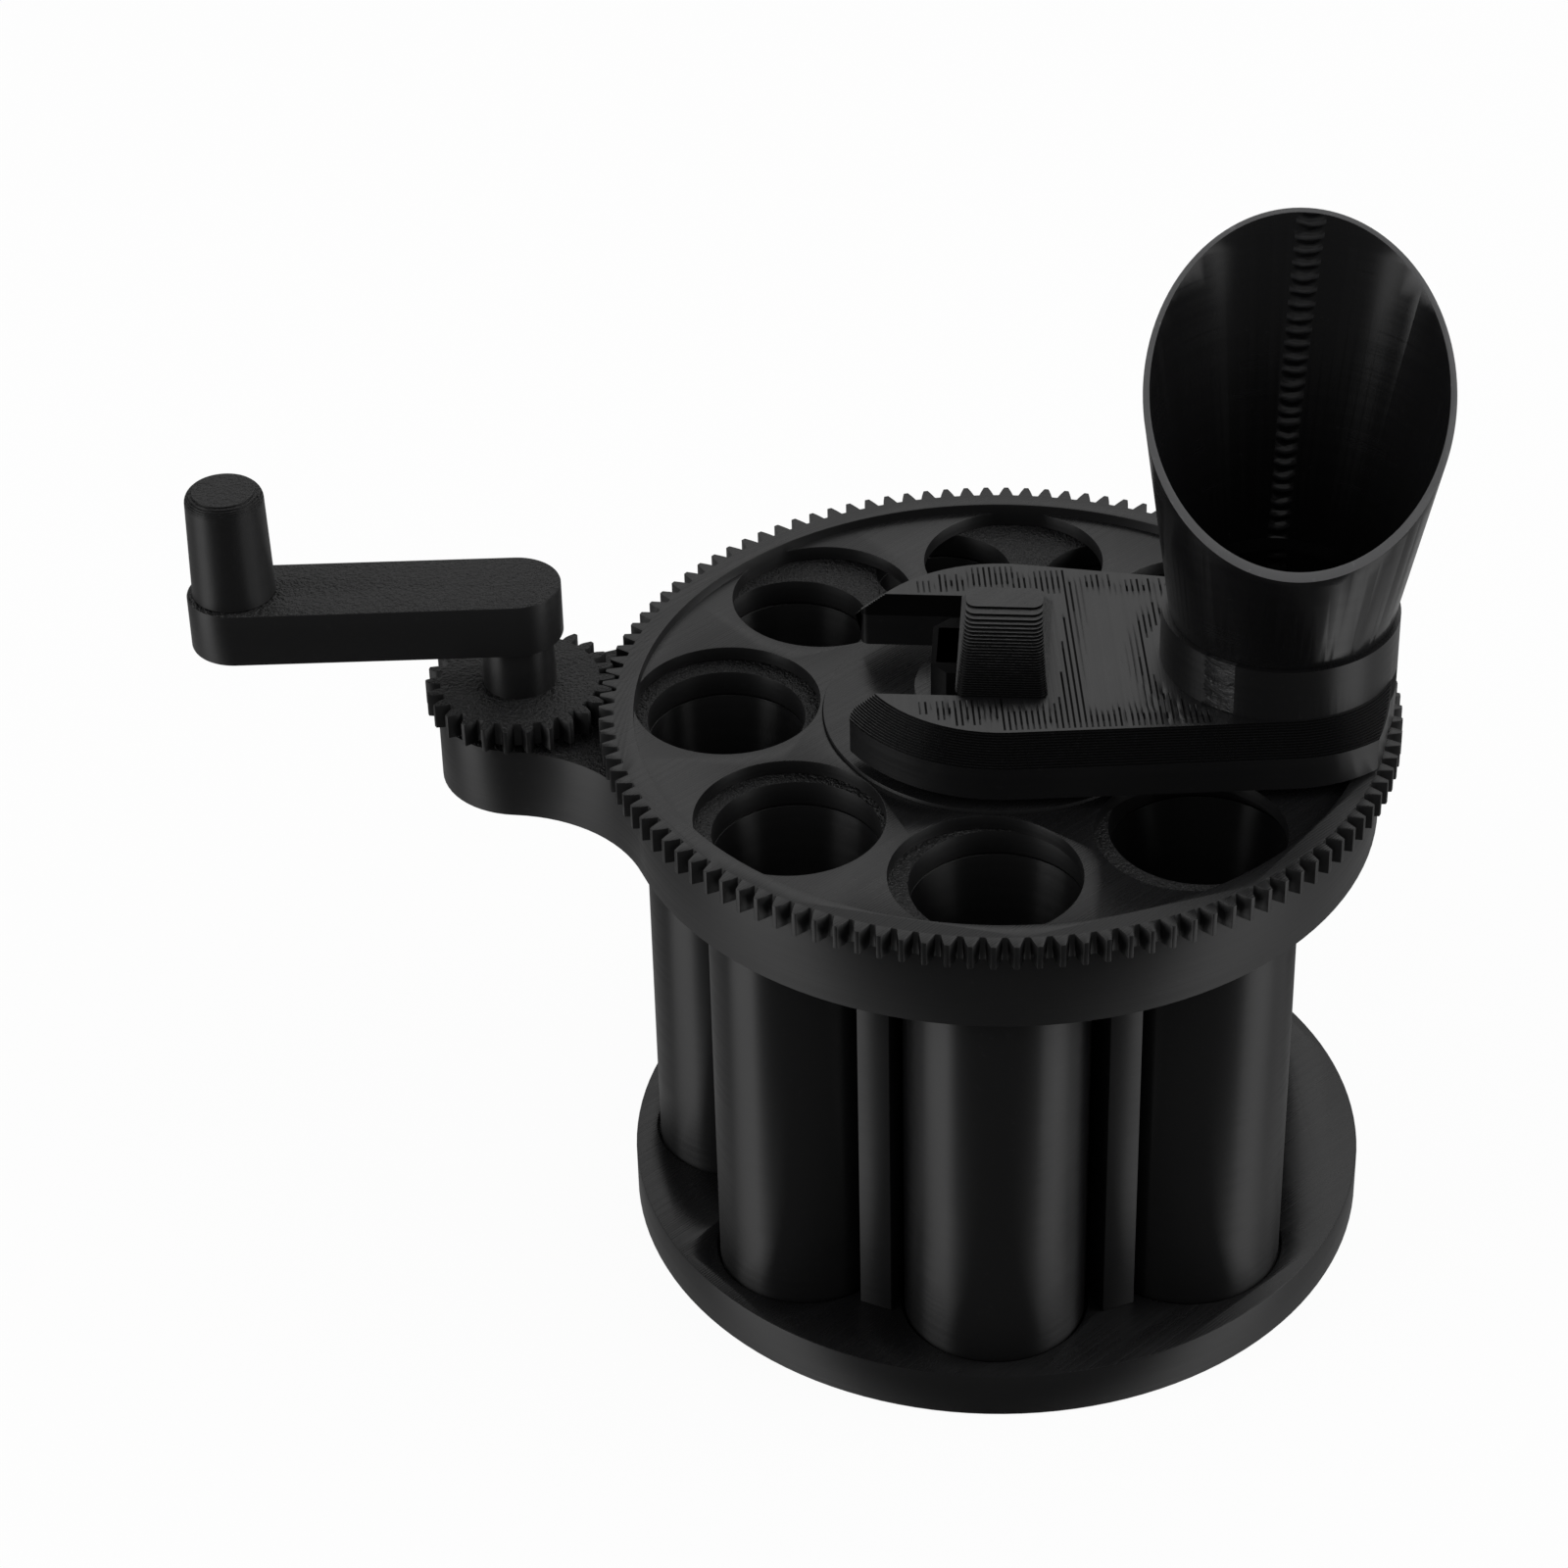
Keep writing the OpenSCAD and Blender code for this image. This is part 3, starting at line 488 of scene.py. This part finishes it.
def groove(b, z):
    """Cuts the gaps between the printed lines of the top face at height z.

    They are deepest near the face's edge, and beside the line that lies at busy across them.
    """
    pitch, depth, edge_band, step = 0.85 * MM, 0.36 * MM, 2.1 * MM, 1.6 * MM
    half_gap = 0.17 * MM
    busy, busy_reach = 9.5 * MM, 1.6 * MM
    shallow, fade_end, fade_length = 0.12, 6.5 * MM, 4.0 * MM
    wave_length = 6.0 * MM
    turn = math.radians(ARM_LINES_TURN)
    across = Vector((math.cos(turn), math.sin(turn), 0))
    along = Vector((-across.y, across.x, 0))

    def is_top(face):
        return face.normal.z > 0.99 and abs(face.calc_center_median().z - z) < 0.01 * MM

    top = [f for f in b.faces if is_top(f)]
    rim = [e for f in top for e in f.edges if any(o.normal.z < 0.99 for o in e.link_faces)]
    ends = np.array([[e.verts[0].co.xy, e.verts[1].co.xy] for e in rim])
    starts, sides = ends[:, 0], ends[:, 1] - ends[:, 0]
    corners = ends.reshape(-1, 2)
    first, last = (corners @ across.xy).min(), (corners @ across.xy).max()
    near, far = (corners @ along.xy).min(), (corners @ along.xy).max()

    tag = b.faces.layers.int.new("top")
    for f in b.faces:
        f[tag] = int(is_top(f))

    def slice_at(place, direction):
        cut(b, [f for f in b.faces if f[tag]], direction * place, direction)

    lines = np.arange(first + pitch / 2, last, pitch)
    for line in lines:
        for off in (-half_gap, 0, half_gap):
            slice_at(line + off, across)
    for place in np.arange(near + 0.6 * MM, far, step):
        slice_at(place, along)

    luck = np.random.default_rng(4)
    strong = luck.uniform(0.6, 1.0, len(lines))
    wave = luck.uniform(0, 6.28, len(lines))
    for v in b.verts:
        if not v.link_faces or not all(f[tag] for f in v.link_faces):
            continue
        at = v.co.dot(across)
        k = int(round((at - lines[0]) / pitch))
        if not 0 <= k < len(lines) or abs(at - lines[k]) > 0.001 * MM:
            continue
        inward = distance(np.array(v.co.xy), starts, sides)
        if inward > edge_band:
            fading = min(1.0, max(shallow, (fade_end - inward) / fade_length))
            beside = math.exp(-(((at - busy) / busy_reach) ** 2))
            uneven = 0.85 + 0.15 * math.sin(v.co.dot(along) / wave_length + wave[k])
            v.co.z -= depth * max(fading, beside) * strong[k] * uneven
    b.faces.layers.int.remove(b.faces.layers.int["top"])


# The pieces that differ from their CAD shapes in more than rounded edges
def hopper_arm():
    """The arm, with a step for each layer of its slope and the gaps between its top lines."""
    b = bmesh.new()
    b.from_mesh(clean_mesh("hopper_arm"))
    terrace(b, SLOPE_FOOT * MM, ARM_TOP * MM)
    b.normal_update()
    groove(b, ARM_TOP * MM)
    piece = new_piece("hopper_arm_skin", b)
    claim(piece, "hopper_arm", "black_print", arm_plastic, painted_shade)
    chute_r = 14.8 * MM
    chute = Vector(CHUTE) * MM

    def in_chute(face):
        below = face.center.z < (ARM_TOP - 0.5) * MM
        return face.normal.z > 0.9 and below and (face.center.xy - chute).length < chute_r

    def on_riser(face):
        on_slope = (SLOPE_FOOT + 0.1) * MM < face.center.z < ARM_TOP * MM
        return abs(face.normal.z) < 0.75 and on_slope

    # Painted shade: the flat faces down in the chute and the risers of the sloped edge get the
    # darker, duller black
    paint(piece, 1, lambda face: in_chute(face) or on_riser(face))


def stack(b, loops):
    """A closed skin over a pile of outlines, from the lowest to the highest."""
    rings = [[b.verts.new(point) for point in loop] for loop in loops]
    for low, high in zip(rings, rings[1:]):
        for k in range(len(low)):
            n = (k + 1) % len(low)
            b.faces.new((low[k], low[n], high[n], high[k]))
    b.faces.new(list(reversed(rings[0])))
    b.faces.new(rings[-1])


def add_shank(b, node, top):
    """Adds what a CAD node has below a height, closed at its top."""
    shank = bmesh.new()
    shank.from_mesh(clean_mesh(node))
    rim = bmesh.ops.bisect_plane(
        shank, geom=[*shank.verts, *shank.edges, *shank.faces], dist=1e-8,
        plane_co=(0, 0, top), plane_no=(0, 0, 1), clear_outer=True,
    )["geom_cut"]
    bmesh.ops.contextual_create(shank, geom=[e for e in rim if isinstance(e, bmesh.types.BMEdge)])
    rest = bpy.data.meshes.new("shank")
    shank.to_mesh(rest)
    shank.free()
    b.from_mesh(rest)
    bpy.data.meshes.remove(rest)


def lock_key():
    """The lock block, with a step for each printed layer, on the shank of the CAD part."""
    length, top_length, width, top_width, height, corner_r = 13.6, 11.3, 27.7, 5.8, 8.1, 1.6
    middle_x, middle_y = 0.5, 0.35
    corner_parts = 8
    arch = (height ** 2 + width ** 2 / 4) / (2 * height)
    count = round(height / LAYER)
    turn = Matrix.Rotation(math.radians(ARM_TURN), 4, "Z")
    loops = []
    for k in range(count):
        z = (k + 0.5) * height / count
        half = (length + (top_length - length) * z / height) / 2
        front = -math.sqrt(arch ** 2 - (z - height + arch) ** 2)
        back = min(-front, width / 2 + (top_width - width) / 2 * z / height)
        r = min(corner_r, (back - front) / 2 - 0.2)
        outline = []
        for corner, (sx, sy) in enumerate(((1, 1), (-1, 1), (-1, -1), (1, -1))):
            cx = middle_x + sx * (half - r)
            cy = middle_y + (back - r if sy > 0 else front + r)
            for j in range(corner_parts + 1):
                a = math.radians(90 * (corner + j / corner_parts))
                outline.append((cx + r * math.cos(a), cy + r * math.sin(a)))
        for level in (k, k + 1):
            up = ARM_TOP + level * height / count
            loops.append([turn @ Vector((x, y, up)) * MM for x, y in outline])
    b = bmesh.new()
    stack(b, loops)
    add_shank(b, "lock_key", (ARM_TOP - 0.01) * MM)
    piece = claim(new_piece("lock_key_skin", b), "lock_key", "black_print", key_plastic, painted_shade)
    # Painted shade: the faces of the block that face the front get the darker, duller black
    paint(piece, 1, lambda face: face.center.z > ARM_TOP * MM and face.normal.y < -0.5)


def lathe(b, outline, middle, foot):
    """A closed skin that a line of radii and heights makes round an upright axis."""
    parts = 72
    rings = []
    for r, z in outline:
        ring = []
        for k in range(parts if r else 1):
            a = 2 * math.pi * k / parts
            place = (middle.x + r * math.cos(a), middle.y + r * math.sin(a), foot + z)
            ring.append(b.verts.new(Vector(place) * MM))
        rings.append(ring)
    for first, second in zip(rings, rings[1:]):
        for k in range(parts):
            n = (k + 1) % parts
            face = [first[k % len(first)], second[k % len(second)]]
            face += [second[n % len(second)]] if len(second) > 1 else []
            face += [first[n % len(first)]] if len(first) > 1 else []
            b.faces.new(face)


def crank_knob():
    """The knob turned from its outline, which steps in at each printed layer."""
    foot_r, shoulder_r, height, edge_r, bore_r, cap = 6.15, 5.8, 17.3, 1.9, 2.55, 3.0
    low, high = (Vector(corner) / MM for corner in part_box("crank_knob"))
    count = round(height / LAYER)
    outline = [(0.0, height - cap), (bore_r, height - cap), (bore_r, 0.0)]
    for k in range(count):
        z = (k + 0.5) * height / count
        if z < height - edge_r:
            r = foot_r + (shoulder_r - foot_r) * z / (height - edge_r)
        else:
            r = shoulder_r - edge_r + math.sqrt(max(edge_r ** 2 - (z - height + edge_r) ** 2, 0))
        outline += [(r, k * height / count), (r, (k + 1) * height / count)]
    outline.append((0.0, height))
    b = bmesh.new()
    lathe(b, outline, (low + high) / 2, low.z)
    claim(new_piece("crank_knob_skin", b), "crank_knob", "black_print", grainy)


def funnel():
    """The funnel, with a painted highlight, a paler colour, on its slanted rim, and painted
    shade, a darker and duller black, on the cone at its foot.
    """
    cone_top = 120 * MM
    slant = Vector((0.0, -0.652, 0.758))
    piece = dress("funnel", "black_print", 0.12, funnel_plastic, rim_painted_highlight, painted_shade)
    # Painted highlight: the slanted faces of the rim get the paler rim material
    paint(piece, 1, lambda face: face.center.z > cone_top and face.normal.dot(slant) > 0.95)
    # Painted shade: the upward faces of the cone at the funnel's foot get the darker, duller
    # black
    paint(piece, 2, lambda face: face.center.z < cone_top and face.normal.z > 0.4)


def hub():
    """The hub, with painted shade, a darker and duller black, on its post in the slot."""
    post_foot = 94.8 * MM
    piece = dress("hub", "black_print", 0.1, plastic, painted_shade)
    # Painted shade: the post, above its foot, gets the darker, duller black
    paint(piece, 1, lambda face: face.center.z > post_foot)


dress("base_plate", "black_print", 0.35, plastic)
for k in range(1, 9):
    dress(f"coin_tube_{k}", "black_tube", 0.15, tube_plastic)
dress("column", "black_print", 0.15, plastic)
dress("head_plate", "black_print", 0.3, grainy)
hub()
dress("rotor", "black_print", 0.08, plastic)
hopper_arm()
funnel()
lock_key()
dress("pinion", "black_print", 0.12, grainy)
dress("crank_shaft", "black_print", 0.15, plastic)
dress("crank_arm", "black_print", 0.25, grainy)
crank_knob()
for node in ("shaft_clip", "knob_pin", "base_screws", "hub_screws"):
    dress(node, "steel", 0.1, steel)


# Floor, light and camera
def seen_directly(t, light_path):
    """1 for what the camera sees, also through something clear."""
    return t.math("ADD", light_path["Is Camera Ray"], light_path["Is Transmission Ray"])


def build_floor():
    """A white floor that keeps the object's shadow, and that gloss looks through."""
    floor_size, grey, white, glow_share = 6.0, (0.3, 0.3, 0.3, 1), (0.8, 0.8, 0.8, 1), 0.95
    mesh = bpy.data.meshes.new("floor")
    b = bmesh.new()
    bmesh.ops.create_grid(b, x_segments=2, y_segments=2, size=floor_size)
    b.to_mesh(mesh)
    b.free()
    floor = bpy.data.objects.new("floor", mesh)
    bpy.context.scene.collection.objects.link(floor)
    material = bpy.data.materials.new("floor_white")
    t = Tree(material)
    light_path = t.node("ShaderNodeLightPath").outputs
    direct = seen_directly(t, light_path)
    lit = t.node("ShaderNodeBsdfDiffuse")
    t.feed(t.mix(direct, grey, white, "RGBA"), lit.inputs["Color"])
    glow = t.node("ShaderNodeEmission")
    glow.inputs["Color"].default_value = (1, 1, 1, 1)
    glow.inputs["Strength"].default_value = 1.0
    share = t.math("MULTIPLY", direct, glow_share, clamp=True)
    ground = t.mix_shaders(share, lit.outputs[0], glow.outputs[0])
    # Gloss on the object shows the studio round it, below the horizon too
    clear = t.node("ShaderNodeBsdfTransparent")
    ground = t.mix_shaders(light_path["Is Glossy Ray"], ground, clear.outputs[0])
    t.finish("ShaderNodeOutputMaterial", ground)
    mesh.materials.append(material)


def build_world():
    """White behind the object; in its gloss, bright sides, a grey back and a dim front."""
    plain, zenith = 0.4, 0.2
    world = bpy.data.worlds.new("studio")
    bpy.context.scene.world = world
    t = Tree(world)
    light_path = t.node("ShaderNodeLightPath").outputs
    x, y, up = t.parts(t.node("ShaderNodeTexCoord").outputs["Generated"])
    reach = t.math("SQRT", t.math("ADD", t.math("MULTIPLY", x, x), t.math("MULTIPLY", y, y)))
    # 1 towards the front, 0 at the sides and -1 at the back
    ahead = t.math("DIVIDE", t.math("MULTIPLY", y, -1.0), t.math("MAXIMUM", reach, 0.001))
    side = t.span(up, 0.0, 0.5, 1.35, 0.85)
    back = t.span(up, 0.0, 0.35, 0.36, 0.52)
    front = t.span(up, 0.1, 0.5, 0.10, 0.42)
    gloss = t.mix(t.span(ahead, 0.0, 0.17), back, side)
    gloss = t.mix(t.span(ahead, 0.56, 0.66), gloss, front)
    gloss = t.mix(t.span(up, 0.75, 0.93), gloss, zenith)
    level = t.mix(light_path["Is Glossy Ray"], plain, gloss)
    level = t.mix(seen_directly(t, light_path), level, 1.0)
    soft = t.node("ShaderNodeBackground")
    soft.inputs["Color"].default_value = (1, 1, 1, 1)
    t.feed(level, soft.inputs["Strength"])
    t.finish("ShaderNodeOutputWorld", soft.outputs[0])


def softbox(name, place, size, power):
    """A wide lamp that shines on the object's middle, with its power in watts."""
    middle = Vector((0, 0, 0.06))
    light = bpy.data.lights.new(name, "AREA")
    light.shape = "RECTANGLE"
    light.size, light.size_y = size
    light.energy = power
    lamp = bpy.data.objects.new(name, light)
    lamp.location = place
    lamp.rotation_euler = (middle - Vector(place)).to_track_quat("-Z", "Y").to_euler()
    bpy.context.scene.collection.objects.link(lamp)


def build_camera():
    """The camera of the photograph: its place, its downward look, and its focus in pixels."""
    photo, focal, axis_u, axis_v = 1600, 4497.5, 962.38, 792.13
    place, down, sensor = (-8.553, -541.219, 467.772), 35.806, 36.0
    data = bpy.data.cameras.new("camera")
    data.sensor_width = sensor
    data.lens = focal / photo * sensor
    data.shift_x = (photo / 2 - axis_u) / photo
    data.shift_y = (axis_v - photo / 2) / photo
    data.clip_start = 0.01
    data.clip_end = 50.0
    camera = bpy.data.objects.new("camera", data)
    camera.location = Vector(place) * MM
    camera.rotation_euler = (math.radians(90 - down), 0, 0)
    bpy.context.scene.collection.objects.link(camera)
    bpy.context.scene.camera = camera


build_floor()
build_world()
softbox("left", (-0.88, -0.34, 0.50), (0.6, 0.8), 5)
softbox("right", (0.95, -0.10, 0.55), (0.9, 0.8), 7)
softbox("top", (0.0, 0.65, 0.85), (1.4, 0.8), 2.6)
build_camera()
bpy.context.scene.view_settings.view_transform = "Standard"
